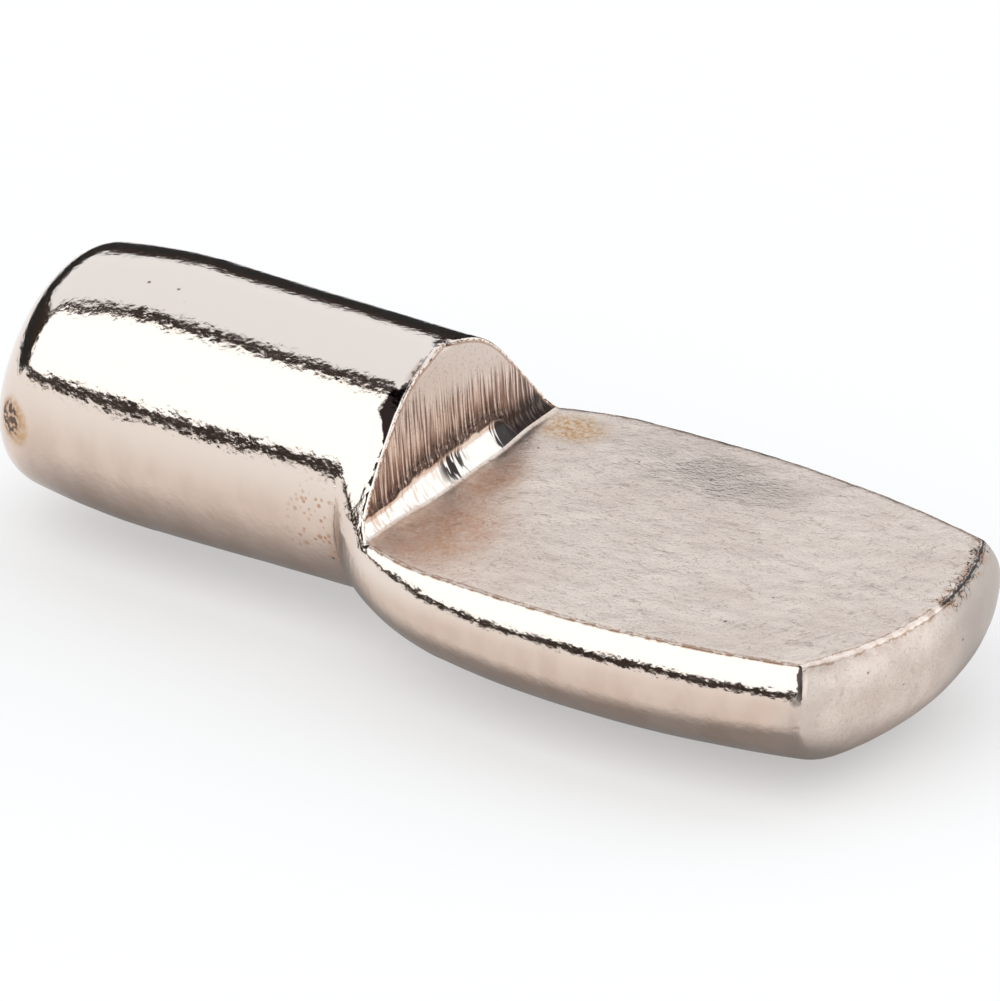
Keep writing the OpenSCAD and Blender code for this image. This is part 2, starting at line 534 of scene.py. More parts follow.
def rim_weight(p, angle):
    """How widely an edge is rounded over: the end's rim the most at its near half, and the least
    at its far half."""
    near_end = smooth(p.x, END_X - 2.0, END_X - 1.1)
    on_end = math.hypot(p.x - END_CENTRE_X, p.y) > END_ARC_R - 0.05 and near_end > 0
    if on_end and p.z < SEAT_Z - AT_SEAT:
        part = END_CORNER_PART * smooth(p.z, SEAT_Z - 1.5, SEAT_Z - 0.7)
    elif abs(p.x - punch_x(SEAT_Z, p.y)) < 0.03 and abs(p.z - SEAT_Z) < AT_SEAT:
        part = STEP_FOOT_PART
    else:
        rim_part = mix(END_RIM_NEAR_PART, END_RIM_FAR_PART, smooth(p.y, 0.2, 1.6))
        part = mix(COMMON_PART, rim_part, near_end)
    return part * smooth(angle, math.radians(18), math.radians(32))


def round_edges(piece):
    """Rounds the crisp edges over."""
    mesh = bmesh.new()
    mesh.from_mesh(piece.data)
    weight = mesh.edges.layers.float.new("bevel_weight_edge")
    for edge in mesh.edges:
        if len(edge.link_faces) == 2:
            middle = (edge.verts[0].co + edge.verts[1].co) / 2 / MM
            edge[weight] = rim_weight(middle, edge.calc_face_angle())
    mesh.to_mesh(piece.data)
    mesh.free()
    bevel = piece.modifiers.new("round", "BEVEL")
    bevel.limit_method = "WEIGHT"
    bevel.width = EDGE_ROUND * MM
    bevel.segments = 3
    bevel.use_clamp_overlap = False
    bpy.ops.object.modifier_apply(modifier="round")


def join_slivers(piece):
    """Joins the points that lie very close together where the corners' rounding runs out."""
    select_points(piece, lambda p: p.z < SEAT_Z - SLIVERS_BELOW and p.x > AROUND_END_X)
    bpy.ops.mesh.remove_doubles(threshold=SLIVER * MM)
    bpy.ops.object.mode_set(mode="OBJECT")


def rim_points(points, test):
    """A tree of the points on one rim, which tells how far away it is."""
    chosen = [p for p in points if test(p)]
    tree = kdtree.KDTree(len(chosen))
    for index, point in enumerate(chosen):
        tree.insert(point, index)
    tree.balance()
    return tree


def mark_rims(piece, rims):
    """Writes how far each point of the skin is from each rim."""
    for name, tree in rims.items():
        layer = piece.data.attributes.new(name, "FLOAT", "POINT")
        for vertex in piece.data.vertices:
            distance = tree.find(vertex.co / MM)[2]
            layer.data[vertex.index].value = min(distance, RIM_REACH)


def nicks(p, rims):
    """How deep the rims are nicked at a place: most on the far half of the end's rim."""
    depths = {
        "to_end": mix(END_NEAR_NICK, END_FAR_NICK, smooth(p.y, -0.5, 1.2)),
        "to_step": STEP_NICK,
        "to_side": SIDE_NICK,
        "to_corner": CORNER_NICK,
    }
    depth = 0
    for name, deepest in depths.items():
        near = 1 - smooth(rims[name].find(p)[2], 0.03, 0.2)
        if near > 0:
            nick = noise.noise(p * 2.3) * 0.6 + noise.noise(p * 4.7) * 0.5
            depth = max(depth, near * deepest * clamp(0.35 + nick, 0, 1))
    return depth


def unevenness(p):
    """How deep the skin is pushed in at a place, by the hammer-like marks of the forging."""
    depth = BROAD_DEPTH * (1 + noise.noise(p * 0.55)) + FINE_DEPTH * (1 + noise.noise(p * 1.7))
    if p.x < FOOT_X + 0.4 and p.z > SEAT_Z and p.x > punch_x(p.z, p.y) - 0.06:
        # The face of the step: upright marks, and a lumpy ridge over the hollow foot
        size = foot_size(p.y)
        level = (p.z - SEAT_Z) / (FOOT_H * size)
        marks = noise.noise(Vector((3, p.y * 5.5, p.z * 0.4)))
        marks += noise.noise(Vector((9, p.y * 11, p.z * 0.9))) * 0.6
        on_face = smooth(p.z, 0.7, 1.0) * (1 - smooth(p.z + 0.22 * p.y, 1.3, 2.2))
        in_foot = smooth(level, 0.1, 0.3) * (1 - smooth(level, 0.75, 0.95))
        ridge = 1 - clamp(abs(level - 1.12) / 0.24, 0, 1) ** 2
        knobs = noise.noise(Vector((p.y * 2.2, 5, 0))) + noise.noise(p * 6) * 0.5
        depth += MARK_DEPTH * (1 + marks) * mix(0.25, 1, on_face)
        depth += FOOT_DEPTH * (1 + noise.noise(Vector((6, p.y * 4, 0)))) * in_foot
        depth -= ridge * (RIDGE_RISE + KNOB_RISE * knobs) * size
    elif abs(p.z - SEAT_Z) < AT_SEAT:
        depth += SEAT_DEPTH * (1 + noise.noise(Vector((p.x * 1.9, p.y * 2.6, 2))))
    return depth


def flare(p, rims):
    """How far the punch has spread the neck outwards at a place next to the step's rim."""
    near = 1 - smooth(rims["to_step"].find(p)[2], 0.02, 0.42)
    uneven = 0.8 + 0.6 * noise.noise(p * 1.3)
    return FLARE * near * uneven * smooth(p.z, 0.3, 1.0) * (1 - smooth(p.y, -0.6, 0.8))


def roughen(piece, rims):
    """Pushes the skin in, a few hundredths of a millimetre, as wear and forging leave it."""
    normals = [vertex.normal.copy() for vertex in piece.data.vertices]
    for vertex, normal in zip(piece.data.vertices, normals):
        p = vertex.co / MM
        vertex.co -= normal * (nicks(p, rims) + unevenness(p)) * MM
        vertex.co += Vector((0, p.y, p.z)).normalized() * flare(p, rims) * MM


def flatten_shading(piece):
    """Lets the broad faces keep their own shading right up to the rounded edges. The bar and the
    hollow foot of the step are left out, so that they shade as the curves that they are."""
    def is_curve(p):
        on_foot = abs(p.x - STEP_X) < 0.5 and SEAT_Z - AT_SEAT < p.z < SEAT_Z + FOOT_H + 0.3
        return on_foot or p.x < BAR_END_X

    curved = piece.vertex_groups.new(name="curved")
    curved.add([v.index for v in piece.data.vertices if is_curve(v.co / MM)], 1, "REPLACE")
    bpy.ops.object.shade_smooth()
    shading = piece.modifiers.new("shading", "WEIGHTED_NORMAL")
    shading.weight = 60
    shading.vertex_group = "curved"
    shading.invert_vertex_group = True
    bpy.ops.object.modifier_apply(modifier="shading")


def make_pin(finishes):
    """The whole pin. How far each point is from the rims is written before the skin is roughened."""
    top = bar_rows(TOP_ANGLES)
    top += neck_rows(TOP_ANGLES)
    low = bar_rows(BELLY_ANGLES)
    low += neck_rows(BELLY_ANGLES)
    blade = blade_rows()
    belly = [low[-1]] + blade
    seat = seat_rows(belly)
    sheets = [
        sheet("bar_top", top, finishes["bright"]),
        sheet("belly", low + blade, finishes["bright"]),
        sheet("seat", seat, finishes["seat"]),
        sheet("step", step_rows(top[-1]), finishes["step"]),
        sheet("end", end_rows(blade[-1], seat[-1]), finishes["end"]),
    ]
    pin = sewn("pin", sheets)
    relax_end(pin)
    rims = {
        "to_side": rim_points([row[0] for row in belly] + [row[-1] for row in belly], bool),
        "to_end": rim_points(seat[-1], bool),
        "to_step": rim_points(top[-1], bool),
        "to_corner": rim_points(blade[-1][:CORNER_ROWS], lambda p: p.z > SEAT_Z - 0.7),
        "to_under": rim_points(blade[-1], lambda p: p.z < SEAT_Z - 1.2),
    }
    round_edges(pin)
    join_slivers(pin)
    mark_rims(pin, rims)
    roughen(pin, rims)
    slant(pin)
    pick(pin)
    flatten_shading(pin)
    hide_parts("support_pin")
    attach(pin, "root")


# ---- Finishes ----

class Recipe:
    """The nodes of one material. Places and sizes in it are in millimetres."""

    def __init__(self, name, color=None):
        self.material = bpy.data.materials.new(name)
        self.material.use_nodes = True
        self.tree = self.material.node_tree
        self.tree.nodes.clear()
        self.output = self.node("ShaderNodeOutputMaterial")
        place = self.node("ShaderNodeTexCoord").outputs["Object"]
        self.place = self.scaled(place, (1 / MM, 1 / MM, 1 / MM))
        self.color = color

    def node(self, kind, **inputs):
        """A new node, with values for its inputs. A _ in an input's name stands for a space."""
        node = self.tree.nodes.new(kind)
        for name, value in inputs.items():
            self.link(value, node.inputs[name.replace("_", " ")])
        return node

    def link(self, value, socket):
        """Joins a socket to a socket, or writes a plain value into it."""
        if isinstance(value, bpy.types.NodeSocket):
            self.tree.links.new(value, socket)
        else:
            socket.default_value = value

    def math(self, operation, *values):
        """The first value joined with each of the others in turn. A tuple among them is a rise."""
        values = [self.rise(*value) if isinstance(value, tuple) else value for value in values]
        result = values[0]
        for value in values[1:]:
            node = self.node("ShaderNodeMath")
            node.operation = operation
            self.link(result, node.inputs[0])
            self.link(value, node.inputs[1])
            result = node.outputs[0]
        return result

    def total(self, *values):
        return self.math("ADD", *values)

    def product(self, *values):
        return self.math("MULTIPLY", *values)

    def most(self, *values):
        return self.math("MAXIMUM", *values)

    def less(self, value, other):
        return self.math("SUBTRACT", value, other)

    def weighted(self, start, *parts):
        """A start value with other parts added, each of which is the product of its factors."""
        return self.total(start, *(self.product(*part) for part in parts))

    def away(self, value, middle):
        """How far a value is from a middle value, to either side."""
        return self.math("ABSOLUTE", self.less(value, middle), 0)

    def vector_math(self, operation, vector, other):
        node = self.node("ShaderNodeVectorMath")
        node.operation = operation
        self.link(vector, node.inputs[0])
        node.inputs[1].default_value = other
        return node

    def scaled(self, vector, factors):
        return self.vector_math("MULTIPLY", vector, factors).outputs[0]

    def moved(self, vector, offset):
        return self.vector_math("SUBTRACT", vector, offset).outputs[0]

    def turned(self, vector, angle):
        """Turned about Z, so that a stretch along X runs at that angle in plan."""
        node = self.node("ShaderNodeVectorRotate", Vector=vector, Angle=-math.radians(angle))
        node.rotation_type = "Z_AXIS"
        return node.outputs[0]

    def split(self):
        """The three parts of a place."""
        return self.node("ShaderNodeSeparateXYZ", Vector=self.place).outputs[:]

    def rise(self, value, low, high, at_low=0.0, at_high=1.0):
        """A smooth rise from one value to another between low and high."""
        node = self.node("ShaderNodeMapRange", Value=value, From_Min=low, From_Max=high,
                         To_Min=at_low, To_Max=at_high)
        node.interpolation_type = "SMOOTHSTEP"
        return node.outputs["Result"]

    def shifted(self, seed):
        """Another part of the endless pattern for each seed."""
        return self.moved(self.place, (seed * 7.3, seed * 3.1, seed * 5.7))

    def noise(self, pitch, stretch=(1, 1, 1), detail=2.0, rough=0.5, seed=0.0, angle=0.0):
        """Noise from 0 to 1 with hills about a pitch apart, longer along the stretched axes."""
        where = self.shifted(seed)
        where = self.turned(where, angle) if angle else where
        where = self.scaled(where, tuple(1 / (pitch * part) for part in stretch))
        node = self.node("ShaderNodeTexNoise", Vector=where, Scale=1, Detail=detail, Roughness=rough)
        return node.outputs["Fac"]

    def cells(self, pitch, seed=0.0):
        """Distance to the nearest of scattered points, in parts of their pitch."""
        where = self.scaled(self.shifted(seed), (1 / pitch,) * 3)
        return self.node("ShaderNodeTexVoronoi", Vector=where, Scale=1).outputs["Distance"]

    def measured(self, name):
        """A distance in millimetres that the mesh carries."""
        node = self.node("ShaderNodeAttribute")
        node.attribute_name = name
        return node.outputs["Fac"]

    def patch(self, centre, radii, edge=0.6):
        """1 inside an oval patch, and fading to 0 at its edge."""
        where = self.scaled(self.moved(self.place, centre), tuple(1 / r for r in radii))
        reach = self.vector_math("LENGTH", where, (0, 0, 0)).outputs["Value"]
        return self.rise(reach, 1, 1 - edge)

    def tinted(self, color, other, *shares):
        """Goes from one colour to the other, by the product of the shares."""
        node = self.node("ShaderNodeMix")
        node.data_type = "RGBA"
        self.link(self.product(*shares), node.inputs["Factor"])
        for value, index in ((color, 6), (other, 7)):
            self.link((*value, 1) if isinstance(value, tuple) else value, node.inputs[index])
        return node.outputs[2]

    def coat(self, color, *shares):
        """Lays a colour over the ones before it, as thickly as the product of the shares."""
        self.color = self.tinted(self.color, color, *shares)

    def ended(self, shader):
        """Makes a shader the material's surface."""
        self.link(shader.outputs[0], self.output.inputs["Surface"])
        return self.material

    def finished(self, metallic, roughness, height):
        """A metal skin with its bumps, whose height is in millimetres."""
        bump = self.node("ShaderNodeBump", Strength=1.0, Distance=MM, Height=height)
        return self.ended(self.node("ShaderNodeBsdfPrincipled", Base_Color=self.color, Metallic=metallic,
                                    Roughness=roughness, Normal=bump.outputs["Normal"]))

    def blended(self, share, first, second):
        """A surface that blends two shaders, with the given share of the second."""
        both = self.node("ShaderNodeMixShader")
        for value, socket in zip((share, first.outputs[0], second.outputs[0]), both.inputs):
            self.link(value, socket)
        return self.ended(both)


NICKEL = (0.80, 0.69, 0.61)
# Tints of a painted reflection of the floor, on the lower skin
BELLY_REFLECTION_TINT = (0.72, 0.575, 0.49)
BELLY_REFLECTION_TINT_DARK = (0.66, 0.515, 0.43)
SEAT_NICKEL = (0.815, 0.68, 0.585)
SEAT_NICKEL_DARK = (0.725, 0.59, 0.505)
STEP_NICKEL = (0.70, 0.585, 0.52)
END_NICKEL = (0.745, 0.635, 0.565)
END_NICKEL_DARK = (0.65, 0.54, 0.475)
# Painted shade under the end
END_UNDER_SHADE = (0.60, 0.50, 0.44)
# Painted highlight in the step's hollow foot
FOOT_HIGHLIGHT = (0.90, 0.80, 0.73)
# Painted highlight on the rims
PINK_EDGE_HIGHLIGHT = (0.92, 0.765, 0.67)
INK = (0.02, 0.013, 0.012)
BLUSH = (0.62, 0.375, 0.25)
BROWN = (0.33, 0.19, 0.12)
GRIME = (0.075, 0.045, 0.035)
RUST = (0.40, 0.17, 0.055)
RIM_STAIN = (0.45, 0.27, 0.18)
# Painted shade low on the belly
BELLY_SHADE = (0.62, 0.45, 0.35)
RUST_RING = (0.55, 0.35, 0.19)
SEAT_DENT = (0.42, 0.32, 0.26)
SEAT_GRAIN = (0.42, 0.30, 0.23)
SEAT_GLINT = (0.90, 0.77, 0.68)
HAIRLINE = (0.33, 0.23, 0.18)
FAR_ZONE_GREY = (0.52, 0.44, 0.385)
ORANGE_WASH = (0.66, 0.43, 0.24)
ORANGE = (0.52, 0.27, 0.09)
STEP_BROWN = (0.55, 0.37, 0.295)
STEP_BROWN_LOW = (0.23, 0.135, 0.10)
MARK_DARK = (0.14, 0.08, 0.06)
MARK_BRIGHT = (0.95, 0.80, 0.72)
STEP_GRAIN = (0.36, 0.25, 0.19)
# Painted shadow under the step's ridge
LIP_SHADOW = (0.14, 0.085, 0.065)
# Painted highlight in the hollow foot, pinker towards the near side
FOOT_PINK_HIGHLIGHT = (0.68, 0.50, 0.40)
# Painted shade in the hollow foot
SMEAR_SHADE = (0.014, 0.01, 0.01)
END_SCUFF = (0.50, 0.38, 0.31)
END_GRAIN = (0.42, 0.30, 0.24)
END_GLINT = (0.88, 0.76, 0.68)
# Painted shade on the end face by its near corner
CORNER_TINT = (0.50, 0.44, 0.40)
# Painted shade on the far side of the end face
END_FAR_GREY = (0.45, 0.385, 0.345)

# Where the single marks are
TIP_MARK = (-8.75, -2.85, -0.35)
TIP_MARK_MIDDLE = (-8.85, -2.8, -0.3)
NECK_SHADE = (0.35, -3.1, -0.9)
NECK_FLECKS = (-0.35, -3.0, -0.6)
BROW_STAIN = (0.9, -1.6, 2.8)
CORNER_KNOT = (13.05, -3.93, -0.74)
CORNER_DRIP = (13.03, -4.0, -1.25)
CORNER_GREY = (13.45, -3.65, -0.7)
FAR_ZONE = (6.2, 2.9, SEAT_Z)
NEAR_BLUSH = (2.7, -2.6, SEAT_Z)
MIDDLE_BLUSH = (2.25, 0.0, SEAT_Z)
ORANGE_PATCH = (2.3, 3.3, SEAT_Z)
# Where the painted shade in the hollow foot lies
FOOT_SMEAR_SHADE = (1.5, -0.2, 0.35)


def specks(look, pitch, size, gate, seed):
    """Scattered specks: one in a few cells of a pitch holds one."""
    dots = look.rise(look.cells(pitch, seed), size, size * 0.5)
    chosen = look.rise(look.noise(pitch * 2.5, detail=0, seed=seed), gate, gate + 0.06)
    return look.product(dots, chosen)


def cracks(look, pitch, width, seed, stretch=(1, 1, 1)):
    """Thin wandering lines."""
    hills = look.noise(pitch, stretch, detail=1, rough=0.6, seed=seed)
    return look.rise(look.away(hills, 0.5), width, width * 0.4)


def line_at(look, distance, place, width):
    """A line along a rim, at a distance from it."""
    return look.rise(look.away(distance, place), width, width * 0.3)


def worn_end_rim(look, y, roughness):
    """The rim of the end is polished, with a painted highlight, on the near half, and torn and stained
    on the far one.
    """
    to_end = look.measured("to_end")
    wander = look.noise(0.3, seed=41)
    far = look.rise(look.weighted(y, (wander, 1.2)), 0.5, 1.5)
    bright = look.product((to_end, 0.105, 0.08), (far, 0, 1, 1, 0.15))
    look.coat(PINK_EDGE_HIGHLIGHT, bright)
    # A broken brown outline on the near half, and a jagged dark line with curls on the far one
    wave = look.less(look.noise(0.16, rough=0.6, seed=43), 0.5)
    jagged = look.weighted(to_end, (wave, 0.2))
    near_line = look.product(line_at(look, jagged, 0.11, 0.035), (wander, 0.35, 0.55, 0.25, 0.85))
    far_line = look.product((jagged, 0.085, 0.05), far)
    curls = look.product(cracks(look, 0.22, 0.04, 42), (jagged, 0.40, 0.2), far,
                         (look.noise(0.4, detail=0, seed=44), 0.46, 0.52))
    dark = look.most(near_line, far_line, curls)
    stained = look.product((to_end, 0.42, 0.1), (wander, 0.42, 0.6))
    look.coat(RIM_STAIN, stained, (far, 0, 1, 0.3, 0.8))
    look.coat(look.tinted(BROWN, INK, far), dark, (far, 0, 1, 0.75, 0.92))
    return look.less(roughness, look.product(bright, 0.1))


def bright_nickel():
    """The polished skin of the shank, the flanks and the belly."""
    look = Recipe("nickel_bright", NICKEL)
    x, z = look.split()[::2]
    mottle = look.noise(1.3, (0.5, 1, 1), detail=3, seed=5)
    ripples = look.noise(0.2, detail=1, seed=2)
    grain = look.noise(0.065, rough=0.6, seed=3)
    # Painted reflection of the floor: warmer and darker low down, from the shoulder on the bar and from
    # under the flank on the blade
    on_blade = look.rise(x, 0.6, 1.8)
    low_painted_reflection = look.weighted(0, ((z, 0.9, -0.7), look.less(1.0, on_blade)),
                             ((z, -0.4, -0.95), on_blade))
    look.coat(look.tinted(BELLY_REFLECTION_TINT, BELLY_REFLECTION_TINT_DARK, (mottle, 0.35, 0.7)), low_painted_reflection)
    # Painted shade, in mottled patches, darker further down the belly
    low_shade_patches = look.product((z, -0.8, -2.7), (mottle, 0.3, 0.65), 0.5)
    look.coat(BELLY_SHADE, low_shade_patches)
    # Painted shade in the crease where the blade swells out of the bar
    look.coat(BROWN, look.patch(NECK_SHADE, (0.55, 1.6, 1.6), 0.9), 0.3)
    # Small rust flecks by the neck
    flecks = look.most(specks(look, 0.16, 0.42, 0.44, 6), specks(look, 0.3, 0.3, 0.5, 7))
    flecks = look.product(flecks, look.patch(NECK_FLECKS, (1.0, 1.2, 1.5)))
    dots = specks(look, 0.8, 0.07, 0.52, 8)
    # The rust mark on the corner of the tip: a ring round a dark middle
    mark = look.patch(TIP_MARK, (0.6, 1.0, 0.75), 0.4)
    middle = look.patch(TIP_MARK_MIDDLE, (0.45, 0.8, 0.55), 0.5)
    torn = look.rise(look.noise(0.14, detail=3, seed=9), 0.35, 0.65)
    look.coat(RUST_RING, mark, (torn, 0, 1, 0.5, 1))
    core = look.product(middle, (torn, 0, 0.6, 0.3, 1))
    rust = look.most(core, look.product(flecks, 0.7))
    look.coat(RUST, rust)
    look.coat(GRIME, look.most(look.product(dots, 0.8), (core, 0.35, 0.8, 0, 0.9)))
    # Brown lines along the rims
    side_line = look.product(line_at(look, look.measured("to_side"), 0.04, 0.05),
                             (ripples, 0.4, 0.6, 0.2, 0.9))
    step = look.measured("to_step")
    step_stain = look.product((step, 0.32, 0.08), (mottle, 0.45, 0.62),
                              look.patch(BROW_STAIN, (1.2, 1.6, 1.2), 0.5))
    # A painted dark reflection: the black line by the step's rim, which widens to a wedge at shoulder
    # height
    torn_edge = look.weighted(look.less(ripples, 0.5), (look.less(grain, 0.5), 0.6))
    wedge = look.product((z, 1.75, 2.3), (z, 2.8, 2.5), 0.4)
    uneven_step = look.math("DIVIDE", look.weighted(step, (torn_edge, 0.3)),
                            look.total(0.15, wedge))
    step_line = look.product((uneven_step, 1.0, 0.8), (step, 0.07, 0.10), (z, 3.1, 2.6, 0.5, 1),
                             (x, -2, -1))
    # The near corner has a dark line, a knot in it and a brown drip below
    corner = look.weighted(look.measured("to_corner"), (torn_edge, 0.12))
    corner_dark = look.most((corner, 0.11, 0.07), look.patch(CORNER_KNOT, (0.2, 0.24, 0.2), 0.5))
    drip = look.patch(CORNER_DRIP, (0.16, 0.3, 0.42), 0.7)
    look.coat(BROWN, look.most(side_line, look.product(step_stain, 0.7), look.product(drip, 0.5)))
    look.coat(INK, look.most(look.product(corner_dark, 0.93), step_line))
    # A painted highlight along the step's rim, broken by the grain
    look.coat(PINK_EDGE_HIGHLIGHT, (step, 0.09, 0.05), (grain, 0.42, 0.5))
    # Under the end, the skin is as dull as the end face, and darkened with painted shade
    under = look.rise(look.measured("to_under"), 0.9, 0.0)
    look.coat(END_UNDER_SHADE, under, 0.8)
    roughness = look.weighted(0.06, (under, 0.2), (mottle, 0.05), (rust, 0.5), (low_shade_patches, 0.12),
                              (corner_dark, 0.3))
    height = look.weighted(0, (ripples, 0.009), (grain, 0.0026))
    return look.finished(look.less(1.0, look.product(rust, 0.7)), roughness, height)


def seat_nickel():
    """The pressed seat: duller, with short dents, specks and a brown blush by the step."""
    look = Recipe("nickel_seat", SEAT_NICKEL)
    x, y = look.split()[:2]
    broad = look.noise(2.2, detail=3, rough=0.6, seed=11)
    dents_gate = look.noise(0.5, detail=0, seed=20)
    along = look.noise(0.16, (1.5, 1, 1), detail=3, rough=0.7, seed=12, angle=12)
    crumbs = look.noise(0.13, (1.3, 1, 1), rough=0.7, seed=28)
    round_end = look.noise(0.2, (2.2, 1, 1), detail=3, rough=0.65, seed=18, angle=78)
    grain = look.noise(0.06, rough=0.7, seed=13)
    hairlines = look.product(cracks(look, 0.22, 0.025, 19, (2.4, 1, 1)), (dents_gate, 0.52, 0.6))
    # The dents run along the seat, and by the end they turn to follow its arc
    by_end = look.rise(look.weighted(x, (broad, 3)), 10.5, 12.5)
    dents = look.weighted(0, (along, look.less(1.0, by_end)), (round_end, by_end))
    look.coat(SEAT_NICKEL_DARK, (broad, 0.35, 0.68))
    look.coat(SEAT_DENT, (dents, 0.42, 0.29), 0.5)
    look.coat(SEAT_GRAIN, (grain, 0.43, 0.28), 0.6)
    look.coat(SEAT_GLINT, (grain, 0.57, 0.72), 0.6)
    look.coat(HAIRLINE, hairlines, 0.4)
    # A darker, more dented zone along the far side
    far_zone = look.product(look.patch(FAR_ZONE, (3.6, 1.5, 1), 0.8), (broad, 0.3, 0.6))
    look.coat(FAR_ZONE_GREY, far_zone, 0.5)
    # The blush lies along the foot of the step, from the near side to past the middle
    blush = look.most(look.patch(NEAR_BLUSH, (1.7, 2.3, 1), 0.7),
                      look.patch(MIDDLE_BLUSH, (0.85, 1.9, 1), 0.8))
    blush = look.product(blush, (look.noise(0.5, detail=4, rough=0.75, seed=15), 0.25, 0.62))
    blotch = look.rise(look.noise(0.11, detail=3, rough=0.7, seed=27), 0.36, 0.6, 0.5, 1)
    look.coat(BLUSH, blush, blotch)
    # Orange specks beyond the middle, and a few dark ones anywhere
    corner = look.patch(ORANGE_PATCH, (1.15, 0.95, 1), 0.8)
    speckle = look.noise(0.12, detail=4, rough=0.75, seed=16)
    orange = look.product(corner, (speckle, 0.42, 0.62))
    look.coat(ORANGE_WASH, corner, 0.45)
    look.coat(ORANGE, orange, 0.9)
    look.coat(GRIME, specks(look, 0.75, 0.075, 0.48, 17), 0.85)
    look.coat(BROWN, line_at(look, look.measured("to_side"), 0.07, 0.06),
              (speckle, 0.4, 0.56, 0.15, 0.8))
    roughness = look.weighted(0.25, (broad, 0.1), (blush, 0.08), (orange, 0.3))
    roughness = worn_end_rim(look, y, roughness)
    strength = look.product((far_zone, 0, 1, 0.013, 0.026), (x, 2.0, 2.8, 0.3, 1))
    height = look.weighted(0, (dents, strength), (grain, 0.0075), (crumbs, (far_zone, 0, 1, 0.006, 0.04)))
    return look.finished(look.less(1.0, look.product(orange, 0.4)), roughness, height)


def step_nickel():
    """The step's face: upright marks of the punch, browner and darker towards the foot."""
    look = Recipe("nickel_step", STEP_NICKEL)
    y, z = look.split()[1:]
    # Upright marks of the punch, about seven to the millimetre, that wander a little
    drift = look.noise(0.6, (4, 1, 6), detail=1, seed=22)
    comb = look.math("SINE", look.weighted(0, (y, 46.0), (drift, 24.0)), 0)
    fine = look.noise(0.06, (4, 1, 26), detail=1, rough=0.6, seed=21)
    marks = look.weighted(fine, (comb, 0.1))
    wander = look.noise(0.45, detail=3, rough=0.6, seed=23)
    grain = look.noise(0.07, rough=0.7, seed=24)
    level = look.weighted(z, (wander, 0.9))
    # The ridge over the hollow foot comes down towards both sides, as the foot gets smaller, and beyond
    # the dark smear of painted shade at the far side it reaches the seat
    foot = look.rise(look.away(y, 0), *FOOT_NARROWS, 1, FOOT_AT_SIDES)
    ridge = look.math("DIVIDE", look.less(z, SEAT_Z), foot)
    ridge = look.total(ridge, SEAT_Z, look.product(wander, 0.35), (y, 1.95, 2.45, 0, 0.65))
    face = look.rise(ridge, 0.74, 0.82)
    look.coat(STEP_BROWN, (level, 2.7, 1.5), 0.8)
    look.coat(STEP_BROWN_LOW, (level, 2.0, 1.3), 0.85)
    # The marks reach higher at the near side than at the far one
    leaning = look.weighted(level, (y, 0.22))
    shown = look.product((leaning, 2.9, 2.2), face)
    look.coat(MARK_DARK, (marks, 0.49, 0.36), shown, 0.85)
    look.coat(MARK_BRIGHT, (marks, 0.54, 0.66), shown, 0.75)
    look.coat(STEP_GRAIN, (grain, 0.44, 0.3), face, 0.6)
    # Painted shadow under the ridge: the lip over the hollow foot is nearly black, with bright specks
    ragged = look.weighted(ridge, (look.less(marks, 0.5), 0.6))
    lip = look.product((ridge, 0.73, 0.81), (ragged, 1.45, 0.95))
    spots = look.noise(0.12, (1.6, 1, 1), rough=0.7, seed=29)
    lip_color = look.tinted(LIP_SHADOW, INK, (spots, 0.5, 0.36))
    look.coat(lip_color, lip, (spots, 0.64, 0.56, 0.0, 0.9))
    # The hollow foot has a painted highlight, broken by dark smears of painted shade near the middle and
    # at the far end
    hollow = look.less(1.0, face)
    streaks = look.noise(0.1, (3, 1, 10), detail=1, seed=25)
    smear_shade = look.product(look.patch(FOOT_SMEAR_SHADE, (0.9, 0.7, 0.5), 0.6), (streaks, 0.56, 0.47))
    far_smear_shade = look.rise(look.weighted(y, (streaks, 1.6)), 2.28, 2.5)
    pink = look.product((streaks, 0.46, 0.36), (y, 0.5, -2.5, 0.15, 0.9))
    look.coat(look.tinted(FOOT_HIGHLIGHT, FOOT_PINK_HIGHLIGHT, pink), hollow)
    look.coat(SMEAR_SHADE, look.most(smear_shade, far_smear_shade), hollow, 0.97)
    # Painted shade low down at the far end of the step
    far_low = look.rise(look.weighted(z, (marks, 0.3)), 0.95, 0.6)
    look.coat(INK, (y, 1.85, 2.4), far_low, 0.85)
    # A painted highlight, a bright and broken bead, follows the rim
    step = look.measured("to_step")
    look.coat(BROWN, (step, 0.16, 0.1), face, 0.8)
    look.coat(PINK_EDGE_HIGHLIGHT, line_at(look, step, 0.05, 0.06), (spots, 0.44, 0.5), face)
    roughness = look.weighted(0.12, (face, 0.24), (lip, 0.2))
    height = look.weighted(0, (marks, shown, 0.02), (streaks, hollow, 0.009),
                           (grain, (hollow, 0, 1, 0.006, 0.0015)))
    return look.finished(1.0, roughness, height)


